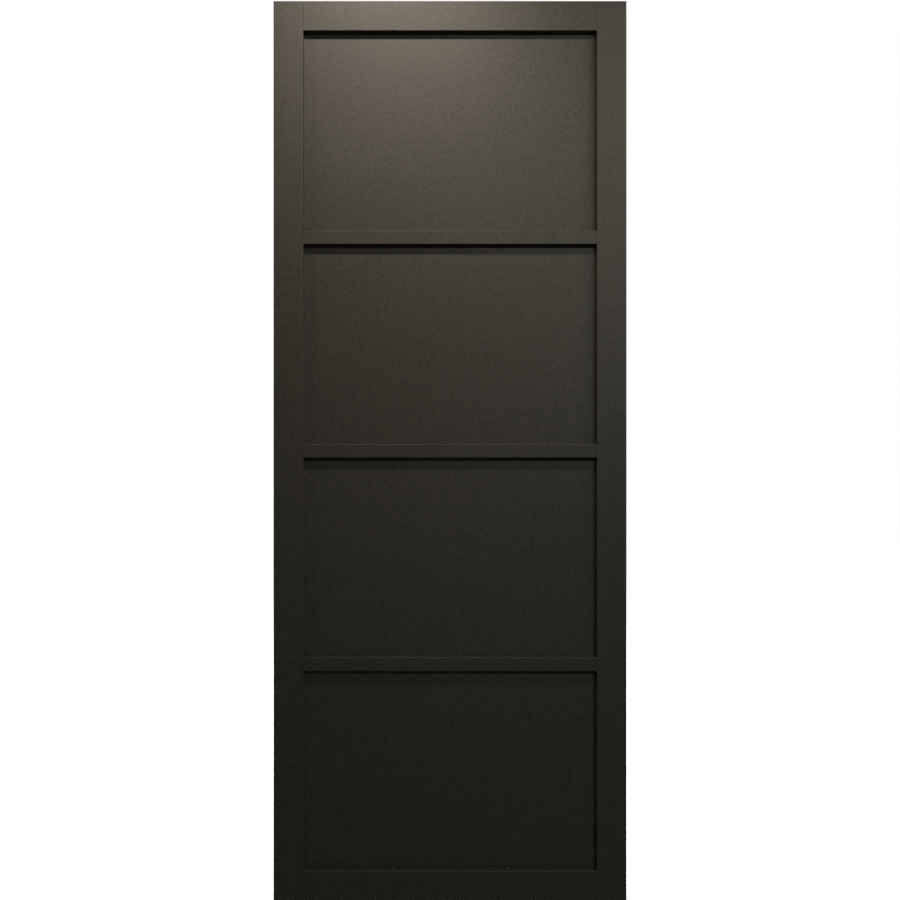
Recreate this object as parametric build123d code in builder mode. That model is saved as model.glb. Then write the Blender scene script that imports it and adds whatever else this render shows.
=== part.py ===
"""Four-panel interior door leaf, in millimetres.

Full-height stiles, with rails and thin bars between them. Each flat panel lies in a groove that
runs round its opening. Tongues on the ends of the rails and bars fill the stile grooves at the
joints, and fluted dowels hold the joints together.

+Z is up and the leaf stands on Z = 0. +X is to the right seen from the front, and the front face
looks along -Y. The origin is at the middle of the bottom edge.
"""

import math
import os

from build123d import *

# The leaf
leaf_width = 830.0
leaf_height = 2115.0
leaf_thickness = 40.0

# Frame members, measured across the face
stile_width = 70.0
rail_width = 70.0
bar_width = 32.0

# Every edge of the front and back is sanded round after the frame is glued up
arris_radius = 1.5

# The ends of rails and bars are eased, which draws a fine line at each joint
shoulder_chamfer = 0.6

# Panels and the groove that holds them
panel_thickness = 16.0
panel_face_play = 0.1
panel_edge_gap = 1.0
panel_lead_chamfer = 1.0
groove_depth = 8.0

# Tongues
tongue_face_play = 0.1
tongue_end_gap = 0.5

# Dowels: two in each rail end, one in each bar end
rail_dowel_diameter = 10.0
rail_dowel_length = 100.0
rail_dowel_spacing = 32.0
bar_dowel_diameter = 8.0
bar_dowel_length = 60.0
dowel_play = 0.05
dowel_end_gap = 1.5
dowel_end_chamfer = 1.0
flute_count = 12
flute_depth = 0.4

# Pieces from the bottom up
panel_names = ["bottom_panel", "lower_middle_panel", "upper_middle_panel", "top_panel"]
bar_names = ["lower_bar", "middle_bar", "upper_bar"]

# Openings
opening_width = leaf_width - 2 * stile_width
opening_height = (leaf_height - 2 * rail_width - len(bar_names) * bar_width) / len(panel_names)
panel_pitch = opening_height + bar_width
opening_floors = [rail_width + place * panel_pitch for place in range(len(panel_names))]
bar_floors = [floor + opening_height for floor in opening_floors[:-1]]
top_rail_floor = leaf_height - rail_width
shoulder_x = opening_width / 2

# Grooves, tongues and panels
groove_width = panel_thickness + 2 * panel_face_play
tongue_length = groove_depth - tongue_end_gap
tongue_thickness = groove_width - 2 * tongue_face_play
panel_reach = groove_depth - panel_edge_gap

# Heights of the dowels: a rail's pair is centred on the wood beyond its groove
rail_core = rail_width - groove_depth
bottom_rail_dowels = [rail_core / 2 - rail_dowel_spacing / 2, rail_core / 2 + rail_dowel_spacing / 2]
top_rail_dowels = [leaf_height - height for height in bottom_rail_dowels]
bar_dowels = {name: [floor + bar_width / 2] for name, floor in zip(bar_names, bar_floors)}

LOW_MIDDLE = (Align.CENTER, Align.MIN)

# The whole frame in one piece, which the members are cut from, so that the arrises mitre at the joints
with BuildPart() as frame_blank:
    with BuildSketch(Plane.XZ):
        Rectangle(leaf_width, leaf_height, align=LOW_MIDDLE)
        with Locations([(0, floor) for floor in opening_floors]):
            Rectangle(opening_width, opening_height, align=LOW_MIDDLE, mode=Mode.SUBTRACT)
    extrude(amount=leaf_thickness / 2, both=True)
    fillet(frame_blank.faces().filter_by(Axis.Y).edges(), radius=arris_radius)


def dowel_mouth(side, height):
    """The plane where a stile meets its rails, looking out of the stile at a dowel's centre."""
    return Plane(origin=(side * shoulder_x, 0, height), z_dir=(-side, 0, 0))


def make_stile(side):
    """A stile: side is -1 for the left one and 1 for the right one."""
    with BuildPart() as stile:
        add(frame_blank.part)
        with BuildSketch(Plane.XZ):
            with Locations((side * (shoulder_x + stile_width / 2), 0)):
                Rectangle(stile_width, leaf_height, align=LOW_MIDDLE)
        extrude(amount=leaf_thickness, both=True, mode=Mode.INTERSECT)
        with BuildSketch(Plane.XZ):
            with Locations((side * (shoulder_x + groove_depth / 2), 0)):
                Rectangle(groove_depth, leaf_height, align=LOW_MIDDLE)
        extrude(amount=groove_width / 2, both=True, mode=Mode.SUBTRACT)
        with Locations([dowel_mouth(side, height) for height in bottom_rail_dowels + top_rail_dowels]):
            Hole(rail_dowel_diameter / 2 + dowel_play, depth=rail_dowel_length / 2 + dowel_end_gap)
        with Locations([dowel_mouth(side, height) for heights in bar_dowels.values() for height in heights]):
            Hole(bar_dowel_diameter / 2 + dowel_play, depth=bar_dowel_length / 2 + dowel_end_gap)
    return stile.part


def make_cross_member(floor, width, groove_floors, dowel_heights, dowel_diameter, dowel_length):
    """A rail or bar between the stiles, from its lower edge at floor, with a groove for each panel edge."""
    with BuildPart() as member:
        add(frame_blank.part)
        with BuildSketch(Plane.XZ):
            with Locations((0, floor)):
                Rectangle(opening_width, width, align=LOW_MIDDLE)
        extrude(amount=leaf_thickness, both=True, mode=Mode.INTERSECT)
        chamfer(member.faces().filter_by(Axis.X).edges(), shoulder_chamfer)
        with BuildSketch(Plane.XZ):
            with Locations((0, floor)):
                Rectangle(opening_width + 2 * tongue_length, width, align=LOW_MIDDLE)
        extrude(amount=tongue_thickness / 2, both=True)
        with BuildSketch(Plane.XZ):
            with Locations([(0, groove_floor) for groove_floor in groove_floors]):
                Rectangle(opening_width + 2 * groove_depth, groove_depth, align=LOW_MIDDLE)
        extrude(amount=groove_width / 2, both=True, mode=Mode.SUBTRACT)
        for side in (-1, 1):
            tongue_end = side * (shoulder_x + tongue_length)
            with Locations([Plane((tongue_end, 0, height), z_dir=(side, 0, 0)) for height in dowel_heights]):
                Hole(dowel_diameter / 2 + dowel_play, depth=tongue_length + dowel_length / 2 + dowel_end_gap)
    return member.part


def make_panel(floor):
    """A flat panel that stands on the lower groove of the opening at floor, clear of the other three."""
    with BuildPart() as panel:
        with BuildSketch(Plane.XZ):
            with Locations((0, floor - groove_depth)):
                Rectangle(
                    opening_width + 2 * panel_reach,
                    groove_depth + opening_height + panel_reach,
                    align=LOW_MIDDLE,
                )
        extrude(amount=panel_thickness / 2, both=True)
        chamfer(panel.faces().filter_by(Axis.Y).edges(), panel_lead_chamfer)
    return panel.part


def make_dowel(diameter, length):
    """A fluted dowel with chamfered ends, along X about the origin."""
    corners = []
    for place in range(2 * flute_count):
        radius = diameter / 2 - flute_depth * (place % 2)
        turn = math.pi * place / flute_count
        corners.append((radius * math.cos(turn), radius * math.sin(turn)))
    with BuildPart() as dowel:
        with BuildSketch(Plane.YZ):
            Polygon(*corners, align=None)
        extrude(amount=length / 2, both=True)
        chamfer(dowel.faces().filter_by(Axis.X).edges(), dowel_end_chamfer)
    return dowel.part


def seat_dowels(dowel, side, heights):
    """The dowels of one joint, half in the rail or bar and half in the stile."""
    with BuildPart() as dowels:
        with Locations([(side * shoulder_x, 0, height) for height in heights]):
            add(dowel)
    return dowels.part


pieces = {"left_stile": make_stile(-1), "right_stile": make_stile(1)}

rail_dowel_size = (rail_dowel_diameter, rail_dowel_length)
bar_dowel_size = (bar_dowel_diameter, bar_dowel_length)

pieces["bottom_rail"] = make_cross_member(
    0, rail_width, [rail_width - groove_depth], bottom_rail_dowels, *rail_dowel_size
)
pieces["top_rail"] = make_cross_member(
    top_rail_floor, rail_width, [top_rail_floor], top_rail_dowels, *rail_dowel_size
)
for name, floor in zip(bar_names, bar_floors):
    bar_grooves = [floor, floor + bar_width - groove_depth]
    pieces[name] = make_cross_member(floor, bar_width, bar_grooves, bar_dowels[name], *bar_dowel_size)

for name, floor in zip(panel_names, opening_floors):
    pieces[name] = make_panel(floor)

rail_dowel = make_dowel(*rail_dowel_size)
bar_dowel = make_dowel(*bar_dowel_size)
for side, side_name in ((-1, "left"), (1, "right")):
    pieces[f"bottom_rail_{side_name}_dowels"] = seat_dowels(rail_dowel, side, bottom_rail_dowels)
    pieces[f"top_rail_{side_name}_dowels"] = seat_dowels(rail_dowel, side, top_rail_dowels)
    for name in bar_names:
        pieces[f"{name}_{side_name}_dowel"] = seat_dowels(bar_dowel, side, bar_dowels[name])

os.makedirs("parts", exist_ok=True)
for name, piece in pieces.items():
    piece.label = name
    export_step(piece, f"parts/{name}.step")
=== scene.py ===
"""The looks of a four-panel interior door leaf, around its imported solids.

Every length is in metres unless its name ends in _mm. +Z is up, +X is to the right seen from the
front, and the front face looks along -Y. The leaf stands on Z = 0.
"""

import logging
import math
from dataclasses import dataclass
from enum import Enum
from typing import Any

import bpy
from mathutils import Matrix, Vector


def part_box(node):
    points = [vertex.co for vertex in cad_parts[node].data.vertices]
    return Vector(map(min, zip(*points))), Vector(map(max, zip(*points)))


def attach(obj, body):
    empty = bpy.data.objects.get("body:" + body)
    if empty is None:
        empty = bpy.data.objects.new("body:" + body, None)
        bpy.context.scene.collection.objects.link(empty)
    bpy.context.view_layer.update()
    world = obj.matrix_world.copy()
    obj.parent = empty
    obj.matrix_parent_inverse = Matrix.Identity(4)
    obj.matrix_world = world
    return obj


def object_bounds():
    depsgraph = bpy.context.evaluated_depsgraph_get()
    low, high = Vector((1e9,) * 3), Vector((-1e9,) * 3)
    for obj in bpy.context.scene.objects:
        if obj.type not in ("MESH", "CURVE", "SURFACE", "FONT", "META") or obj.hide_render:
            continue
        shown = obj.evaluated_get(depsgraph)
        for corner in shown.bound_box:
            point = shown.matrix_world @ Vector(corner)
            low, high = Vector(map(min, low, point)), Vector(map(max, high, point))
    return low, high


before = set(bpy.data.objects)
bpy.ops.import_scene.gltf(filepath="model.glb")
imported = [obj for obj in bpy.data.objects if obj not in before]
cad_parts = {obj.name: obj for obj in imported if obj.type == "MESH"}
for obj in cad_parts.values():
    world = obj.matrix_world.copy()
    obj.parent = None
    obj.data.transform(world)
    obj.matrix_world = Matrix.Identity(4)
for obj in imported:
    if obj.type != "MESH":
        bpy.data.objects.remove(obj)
CAD_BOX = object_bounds()

BODY = "root"
MM = 0.001
WHITE = "#FFFFFF"

# Nearly all of a noise texture's values lie between these two
NOISE_LOW = 0.3
NOISE_HIGH = 0.7

log = logging.getLogger("door")


def linear_colour(hex_colour: str) -> tuple[float, float, float, float]:
    """Turns an sRGB hex colour into linear light.

    Args:
        hex_colour: Six hex digits after a hash sign.

    Returns:
        Red, green, blue and an alpha of one.
    """
    channels = [int(hex_colour[place : place + 2], 16) / 255 for place in (1, 3, 5)]
    linear = [c / 12.92 if c <= 0.04045 else ((c + 0.055) / 1.055) ** 2.4 for c in channels]
    return (linear[0], linear[1], linear[2], 1.0)


def per_metre(size_mm: float) -> float:
    """Gives a texture's scale for a pattern whose grains are this far apart."""
    return 1 / (size_mm * MM)


def add_node(
    tree: bpy.types.NodeTree,
    kind: str,
    inputs: dict[str, Any] | None = None,
    **settings: Any,
) -> bpy.types.Node:
    """Adds a node with its settings, constants and links.

    Args:
        tree: The node tree that gets the node.
        kind: Blender's name for the kind of node.
        inputs: For each input, by identifier or name, a constant or the output that feeds it.
        **settings: The node's own properties.

    Returns:
        The new node.
    """
    node = tree.nodes.new(kind)
    for name, value in settings.items():
        setattr(node, name, value)
    for name, value in (inputs or {}).items():
        socket = next(s for s in node.inputs if name in (s.identifier, s.name))
        if isinstance(value, bpy.types.NodeSocket):
            tree.links.new(value, socket)
        else:
            socket.default_value = value
    return node


def new_material(name: str) -> tuple[bpy.types.Material, bpy.types.NodeTree]:
    """Makes a material with an empty node tree.

    Args:
        name: The finish that the material is named for.

    Returns:
        The material and its tree.
    """
    material = bpy.data.materials.new(name)
    material.use_nodes = True
    material.node_tree.nodes.clear()
    return material, material.node_tree


@dataclass(frozen=True)
class SatinLacquer:
    """Black satin lacquer sprayed on wood and fibreboard and left unpolished.

    It gives the eye a soft wide highlight, a faint cloudiness where the coats overlap, and a fine
    orange peel with specks of warmer and cooler black.
    """

    name: str
    warm_colour: str = "#332F2A"
    cool_colour: str = "#1E1F1D"
    sheen_low: float = 0.585
    sheen_high: float = 0.615
    cloud_mm: float = 260.0
    # Real spray mottle and peel are about a millimetre across, and are drawn coarser so that they show
    mottle_mm: float = 6.0
    peel_mm: float = 5.0
    peel_height_mm: float = 0.02

    def build(self) -> bpy.types.Material:
        """Makes the lacquer's nodes.

        Returns:
            The material.
        """
        material, tree = new_material(self.name)
        place = add_node(tree, "ShaderNodeTexCoord").outputs["Object"]
        mottle = add_node(
            tree,
            "ShaderNodeTexNoise",
            {"Vector": place, "Scale": per_metre(self.mottle_mm), "Detail": 2.0, "Roughness": 0.6},
        )
        blend = add_node(
            tree,
            "ShaderNodeMapRange",
            {"Value": mottle.outputs["Fac"], "From Min": NOISE_LOW, "From Max": NOISE_HIGH},
        )
        colour = add_node(
            tree,
            "ShaderNodeMix",
            {
                "Factor_Float": blend.outputs["Result"],
                "A_Color": linear_colour(self.cool_colour),
                "B_Color": linear_colour(self.warm_colour),
            },
            data_type="RGBA",
        )
        cloud = add_node(
            tree,
            "ShaderNodeTexNoise",
            {"Vector": place, "Scale": per_metre(self.cloud_mm), "Detail": 2.0},
        )
        sheen = add_node(
            tree,
            "ShaderNodeMapRange",
            {
                "Value": cloud.outputs["Fac"],
                "From Min": NOISE_LOW,
                "From Max": NOISE_HIGH,
                "To Min": self.sheen_low,
                "To Max": self.sheen_high,
            },
        )
        peel = add_node(
            tree,
            "ShaderNodeTexNoise",
            {"Vector": place, "Scale": per_metre(self.peel_mm), "Detail": 1.0},
        )
        bump = add_node(
            tree,
            "ShaderNodeBump",
            {"Strength": 1.0, "Distance": self.peel_height_mm * MM, "Height": peel.outputs["Fac"]},
        )
        shader = add_node(
            tree,
            "ShaderNodeBsdfPrincipled",
            {
                "Base Color": colour.outputs["Result"],
                "Roughness": sheen.outputs["Result"],
                "Normal": bump.outputs["Normal"],
                "IOR": 1.5,
            },
        )
        add_node(tree, "ShaderNodeOutputMaterial", {"Surface": shader.outputs["BSDF"]})
        return material


@dataclass(frozen=True)
class TurnedBeech:
    """Bare beech, turned and fluted: pale pinkish wood with short dark flecks along its grain."""

    name: str = "turned_beech"
    pale_colour: str = "#D3AE85"
    dark_colour: str = "#A97C53"
    fleck_mm: float = 0.8
    fleck_length_ratio: float = 8.0

    def build(self) -> bpy.types.Material:
        """Makes the beech's nodes, with the grain along X.

        Returns:
            The material.
        """
        material, tree = new_material(self.name)
        place = add_node(tree, "ShaderNodeTexCoord").outputs["Object"]
        along = add_node(
            tree,
            "ShaderNodeMapping",
            {"Vector": place, "Scale": (1 / self.fleck_length_ratio, 1.0, 1.0)},
        )
        fleck = add_node(
            tree,
            "ShaderNodeTexNoise",
            {"Vector": along.outputs["Vector"], "Scale": per_metre(self.fleck_mm), "Detail": 3.0},
        )
        colour = add_node(
            tree,
            "ShaderNodeMix",
            {
                "Factor_Float": fleck.outputs["Fac"],
                "A_Color": linear_colour(self.dark_colour),
                "B_Color": linear_colour(self.pale_colour),
            },
            data_type="RGBA",
        )
        shader = add_node(
            tree,
            "ShaderNodeBsdfPrincipled",
            {"Base Color": colour.outputs["Result"], "Roughness": 0.65, "IOR": 1.5},
        )
        add_node(tree, "ShaderNodeOutputMaterial", {"Surface": shader.outputs["BSDF"]})
        return material


@dataclass(frozen=True)
class SettledDust:
    """Crumbs of pale house dust: dull, matt and uneven in tone, so that they catch the light on black."""

    name: str = "settled_dust"
    pale_colour: str = "#B2B2B0"
    dark_colour: str = "#7A7A78"
    clump_mm: float = 0.5

    def build(self) -> bpy.types.Material:
        """Makes the dust's nodes.

        Returns:
            The material.
        """
        material, tree = new_material(self.name)
        place = add_node(tree, "ShaderNodeTexCoord").outputs["Object"]
        clump = add_node(
            tree,
            "ShaderNodeTexNoise",
            {"Vector": place, "Scale": per_metre(self.clump_mm), "Detail": 2.0},
        )
        colour = add_node(
            tree,
            "ShaderNodeMix",
            {
                "Factor_Float": clump.outputs["Fac"],
                "A_Color": linear_colour(self.dark_colour),
                "B_Color": linear_colour(self.pale_colour),
            },
            data_type="RGBA",
        )
        shader = add_node(
            tree,
            "ShaderNodeBsdfPrincipled",
            {"Base Color": colour.outputs["Result"], "Roughness": 0.95, "IOR": 1.4},
        )
        add_node(tree, "ShaderNodeOutputMaterial", {"Surface": shader.outputs["BSDF"]})
        return material


@dataclass(frozen=True)
class PaleFloor:
    """A pale studio floor that fades to white, so that no horizon shows."""

    name: str = "pale_studio_floor"
    colour: str = "#F4F3F0"
    near_glow: float = 0.8
    far_glow: float = 1.0
    fade_start: float = 0.5
    fade_end: float = 3.0

    def build(self) -> bpy.types.Material:
        """Makes the floor's nodes.

        Returns:
            The material.
        """
        material, tree = new_material(self.name)
        place = add_node(tree, "ShaderNodeTexCoord").outputs["Object"]
        reach = add_node(tree, "ShaderNodeVectorMath", {"Vector": place}, operation="LENGTH")
        glow = add_node(
            tree,
            "ShaderNodeMapRange",
            {
                "Value": reach.outputs["Value"],
                "From Min": self.fade_start,
                "From Max": self.fade_end,
                "To Min": self.near_glow,
                "To Max": self.far_glow,
            },
        )
        shader = add_node(
            tree,
            "ShaderNodeBsdfPrincipled",
            {
                "Base Color": linear_colour(self.colour),
                "Roughness": 0.9,
                "Emission Color": linear_colour(WHITE),
                "Emission Strength": glow.outputs["Result"],
            },
        )
        add_node(tree, "ShaderNodeOutputMaterial", {"Surface": shader.outputs["BSDF"]})
        return material


@dataclass
class PieceGroup:
    """Solids of one kind that keep their shape and share a finish."""

    title: str
    nodes: tuple[str, ...]
    finish: SatinLacquer | TurnedBeech

    def dress(self) -> None:
        """Gives each solid the finish in all its material slots."""
        material = self.finish.build()
        for name in self.nodes:
            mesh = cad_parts[name].data
            mesh.materials.clear()
            mesh.materials.append(material)
            log.info("%s: %s in %s", self.title, name, material.name)


@dataclass(frozen=True)
class Crumb:
    """One crumb of dust: how far along the ledge it lies, its width, and the seed of its lumps."""

    along: float
    width: float
    seed: int


@dataclass
class LedgeDust:
    """A few crumbs of dust that have settled on the bottom rail's ledge."""

    crumbs: tuple[Crumb, ...]
    finish: SettledDust = SettledDust()
    name: str = "ledge_dust"
    height_ratio: float = 3.0
    stand_off: float = 0.004
    ball_subdivisions: int = 3
    lump_ratio: float = 0.14
    lump_smoothing: float = 0.5

    def build(self) -> bpy.types.Object:
        """Models the crumbs, stands them on the ledge and joins them.

        Returns:
            The crumbs as one object.
        """
        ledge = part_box("bottom_rail")[1].z
        panel_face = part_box("bottom_panel")[0].y
        pieces = [self.shape(crumb, ledge, panel_face) for crumb in self.crumbs]
        bpy.ops.object.select_all(action="DESELECT")
        for piece in pieces:
            piece.select_set(True)
        bpy.context.view_layer.objects.active = pieces[0]
        bpy.ops.object.join()
        dust = bpy.context.object
        dust.name = self.name
        bpy.ops.object.transform_apply(location=True, rotation=True, scale=True)
        dust.data.materials.append(self.finish.build())
        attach(dust, BODY)
        log.info("dust: %d crumbs in %s", len(self.crumbs), dust.data.materials[0].name)
        return dust

    def shape(self, crumb: Crumb, ledge: float, panel_face: float) -> bpy.types.Object:
        """Models one lumpy crumb that touches the ledge and stands a little in front of the panel.

        Args:
            crumb: Which crumb it is.
            ledge: The height of the ledge.
            panel_face: Where the panel's face is along Y.

        Returns:
            The crumb's object.
        """
        radius = crumb.width / 2
        bpy.ops.object.select_all(action="DESELECT")
        bpy.ops.mesh.primitive_ico_sphere_add(subdivisions=self.ball_subdivisions, radius=radius)
        piece = bpy.context.object
        bpy.ops.object.mode_set(mode="EDIT")
        bpy.ops.mesh.select_all(action="SELECT")
        bpy.ops.transform.vertex_random(offset=self.lump_ratio * radius, seed=crumb.seed)
        bpy.ops.mesh.vertices_smooth(factor=self.lump_smoothing)
        bpy.ops.transform.resize(value=(1.0, 1.0, self.height_ratio), center_override=(0.0, 0.0, 0.0))
        bpy.ops.object.mode_set(mode="OBJECT")
        bpy.ops.object.shade_smooth()
        corners = [vertex.co for vertex in piece.data.vertices]
        lowest = min(corner.z for corner in corners)
        rearmost = max(corner.y for corner in corners)
        piece.location = (crumb.along, panel_face - self.stand_off - rearmost, ledge - lowest)
        return piece


class LampKind(Enum):
    """The kinds of lamp in the studio."""

    SPOT = "SPOT"
    SOFTBOX = "AREA"


@dataclass(frozen=True)
class Lamp:
    """A studio lamp: where it stands, what it looks at, and how large and bright it is.

    A lamp that looks straight down is aimed a centimetre aside, so that its turn is defined.
    """

    name: str
    kind: LampKind
    place: tuple[float, float, float]
    aim: tuple[float, float, float]
    watts: float
    colour: str
    width: float
    height: float = 0.0
    beam_degrees: float = 0.0

    def light(self) -> bpy.types.Object:
        """Adds the lamp to the scene.

        Returns:
            The lamp's object.
        """
        turn = (Vector(self.aim) - Vector(self.place)).to_track_quat("-Z", "Y").to_euler()
        bpy.ops.object.light_add(type=self.kind.value, location=self.place, rotation=turn)
        lamp = bpy.context.object
        lamp.name = self.name
        lamp.visible_camera = False
        lamp.data.energy = self.watts
        lamp.data.color = linear_colour(self.colour)[:3]
        if self.kind is LampKind.SPOT:
            lamp.data.shadow_soft_size = self.width / 2
            lamp.data.spot_size = math.radians(self.beam_degrees)
            lamp.data.spot_blend = 1.0
        else:
            lamp.data.shape = "RECTANGLE"
            lamp.data.size = self.width
            lamp.data.size_y = self.height
        log.info("lamp: %s", self.name)
        return lamp


@dataclass
class Studio:
    """The floor, the lamps, the white surround and the camera."""

    floor_width: float
    camera_distance: float
    camera_height: float
    view_height: float
    floor_glow: float
    floor_glow_colour: str
    horizon_blend: float
    lamps: tuple[Lamp, ...]

    def lay_floor(self) -> None:
        """Lays the pale floor. The surround, not the floor, gives the leaf its soft light from below."""
        bpy.ops.object.select_all(action="DESELECT")
        bpy.ops.mesh.primitive_plane_add(size=self.floor_width)
        floor = bpy.context.object
        floor.name = "studio_floor"
        floor.data.materials.append(PaleFloor().build())
        floor.visible_diffuse = False
        floor.visible_glossy = False

    def light(self) -> None:
        """Lights the lamps, and makes a surround that looks white and glows softly from below."""
        for lamp in self.lamps:
            lamp.light()
        world = bpy.data.worlds.new("studio_surround")
        world.use_nodes = True
        tree = world.node_tree
        tree.nodes.clear()
        seen = add_node(tree, "ShaderNodeLightPath")
        way = add_node(tree, "ShaderNodeTexCoord").outputs["Generated"]
        rise = add_node(tree, "ShaderNodeSeparateXYZ", {"Vector": way}).outputs["Z"]
        glow = add_node(
            tree,
            "ShaderNodeMapRange",
            {
                "Value": rise,
                "From Min": -self.horizon_blend,
                "From Max": self.horizon_blend,
                "To Min": self.floor_glow,
                "To Max": 0.0,
            },
        )
        soft = add_node(
            tree,
            "ShaderNodeBackground",
            {"Color": linear_colour(self.floor_glow_colour), "Strength": glow.outputs["Result"]},
        )
        white = add_node(tree, "ShaderNodeBackground", {"Color": linear_colour(WHITE), "Strength": 1.0})
        mixed = add_node(
            tree,
            "ShaderNodeMixShader",
            {
                "Fac": seen.outputs["Is Camera Ray"],
                "Shader": soft.outputs["Background"],
                "Shader_001": white.outputs["Background"],
            },
        )
        add_node(tree, "ShaderNodeOutputWorld", {"Surface": mixed.outputs["Shader"]})
        bpy.context.scene.world = world
        bpy.context.scene.view_settings.view_transform = "Standard"

    def aim_camera(self) -> None:
        """Stands the camera level in front of the leaf, whose front face fills the picture's height."""
        low, high = CAD_BOX
        place = ((low.x + high.x) / 2, low.y - self.camera_distance, self.camera_height)
        bpy.ops.object.camera_add(location=place, rotation=(math.pi / 2, 0, 0))
        camera = bpy.context.object
        camera.name = "photo_camera"
        camera.data.lens = camera.data.sensor_width * self.camera_distance / self.view_height
        camera.data.dof.use_dof = False
        bpy.context.scene.camera = camera


DOWELS = tuple(sorted(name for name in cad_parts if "dowel" in name))
PANELS = tuple(sorted(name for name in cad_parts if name.endswith("panel")))
FRAME_MEMBERS = tuple(sorted(set(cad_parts) - set(DOWELS) - set(PANELS)))

LEAF = (
    PieceGroup("frame", FRAME_MEMBERS, SatinLacquer("satin_black_lacquer_frame")),
    PieceGroup("panel", PANELS, SatinLacquer("satin_black_lacquer_panel")),
    PieceGroup("dowel", DOWELS, TurnedBeech()),
)

DUST = LedgeDust(
    crumbs=(
        Crumb(along=-0.132, width=0.0012, seed=3),
        Crumb(along=0.099, width=0.0013, seed=5),
        Crumb(along=0.135, width=0.0014, seed=8),
    ),
)

# Lamps in a ceiling, the first row close to the leaf
CEILING = 2.945
FIRST_ROW = -0.77
SPOT_LENS = 0.05
DOWNLIGHT_WIDTH = 0.15

# Spots in a row on the right: their shades overlap, which softens the edge beside the right stile
RIGHT_SPOT_PLACES = (1.3, 1.8, 2.3, 2.8)
RIGHT_SPOT_LENS = 0.3
RIGHT_SPOTS = tuple(
    Lamp(
        f"right_ceiling_spot_{number}",
        LampKind.SPOT,
        place=(along, FIRST_ROW, CEILING),
        aim=(0.1, 0.0, 1.9),
        watts=34.5,
        colour="#FFF0DA",
        width=RIGHT_SPOT_LENS,
        beam_degrees=60.0,
    )
    for number, along in enumerate(RIGHT_SPOT_PLACES, start=1)
)

# Softboxes behind the leaf light its back and edges, and don't reach its front
SOFTBOX_COLOUR = "#FFF8EC"
EDGE_BOX_WIDTH = 0.6
EDGE_BOX_HEIGHT = 1.6
LEAF_MIDDLE = (0.0, 0.0, 1.1)

STUDIO = Studio(
    floor_width=80.0,
    camera_distance=1.65,
    camera_height=1.0596,
    view_height=2.1147,
    floor_glow=0.12,
    floor_glow_colour="#F8FFF0",
    horizon_blend=0.1,
    lamps=(
        Lamp(
            "ceiling_spot_core",
            LampKind.SPOT,
            place=(-0.2, FIRST_ROW, CEILING),
            aim=(-0.15, 0.0, 2.0),
            watts=37.5,
            colour="#FFE6D3",
            width=SPOT_LENS,
            beam_degrees=46.0,
        ),
        Lamp(
            "ceiling_spot",
            LampKind.SPOT,
            place=(-0.2, FIRST_ROW, CEILING),
            aim=(-0.15, 0.0, 1.9),
            watts=63.5,
            colour="#FFF4E2",
            width=SPOT_LENS,
            beam_degrees=60.0,
        ),
        *RIGHT_SPOTS,
        Lamp(
            "left_ceiling_spot",
            LampKind.SPOT,
            place=(-2.2, FIRST_ROW, CEILING),
            aim=(-0.1, 0.0, 1.5),
            watts=52.9,
            colour="#FFF5B9",
            width=SPOT_LENS,
            beam_degrees=40.0,
        ),
        Lamp(
            "second_row_downlight",
            LampKind.SOFTBOX,
            place=(0.6, -2.4, CEILING),
            aim=(0.6, -2.39, 0.0),
            watts=23.0,
            colour="#FFEFC9",
            width=DOWNLIGHT_WIDTH,
            height=DOWNLIGHT_WIDTH,
        ),
        Lamp(
            "second_row_right_downlight",
            LampKind.SOFTBOX,
            place=(1.9, -2.76, CEILING),
            aim=(1.9, -2.75, 0.0),
            watts=65.7,
            colour="#F8FFFC",
            width=DOWNLIGHT_WIDTH,
            height=DOWNLIGHT_WIDTH,
        ),
        Lamp(
            "back_softbox",
            LampKind.SOFTBOX,
            place=(-0.8, 2.6, 2.6),
            aim=LEAF_MIDDLE,
            watts=45.0,
            colour=SOFTBOX_COLOUR,
            width=1.6,
            height=1.2,
        ),
        Lamp(
            "left_edge_softbox",
            LampKind.SOFTBOX,
            place=(-1.7, 1.5, 1.4),
            aim=LEAF_MIDDLE,
            watts=30.0,
            colour=SOFTBOX_COLOUR,
            width=EDGE_BOX_WIDTH,
            height=EDGE_BOX_HEIGHT,
        ),
        Lamp(
            "right_edge_softbox",
            LampKind.SOFTBOX,
            place=(1.7, 1.5, 1.4),
            aim=LEAF_MIDDLE,
            watts=18.0,
            colour=SOFTBOX_COLOUR,
            width=EDGE_BOX_WIDTH,
            height=EDGE_BOX_HEIGHT,
        ),
    ),
)


def main() -> None:
    """Dresses the leaf and sets up the studio around it."""
    logging.basicConfig(level=logging.INFO, format="%(name)s: %(message)s")
    for group in LEAF:
        group.dress()
    DUST.build()
    STUDIO.lay_floor()
    STUDIO.light()
    STUDIO.aim_camera()


if __name__ == "__main__":
    main()
